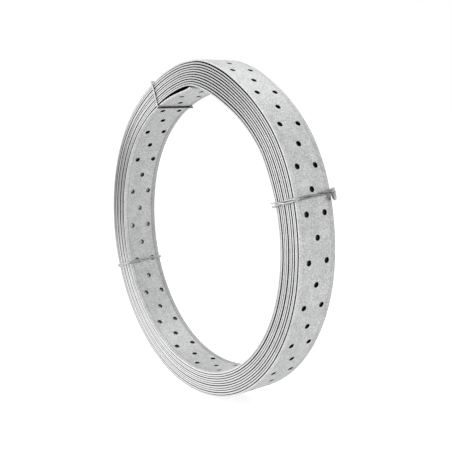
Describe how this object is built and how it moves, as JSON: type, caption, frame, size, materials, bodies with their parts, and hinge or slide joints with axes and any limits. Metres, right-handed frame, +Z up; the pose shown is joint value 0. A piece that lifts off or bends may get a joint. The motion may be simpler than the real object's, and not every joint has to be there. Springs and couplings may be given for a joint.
{
  "type": "roll of perforated metal strap",
  "caption": "Roll of flat perforated steel strap, wound turn on turn round an open bore, held by three twisted wire ties and standing on its rim.",
  "frame": {"origin": "on the floor under the roll's centre, midway between its two ends", "axes": "+Z up; +Y along the roll's axis, from the near end to the far end where the ties are twisted; +X to the right as seen from the near end"},
  "size_m": [0.327, 0.0451, 0.327],
  "materials": {
    "strap": "galvanised sheet, dull zinc grey",
    "tie_wire": "galvanised soft wire"
  },
  "bodies": {
    "root": {"strap": "strap", "tie_top": "tie_wire", "tie_left": "tie_wire", "tie_right": "tie_wire"}
  },
  "joints": []
}
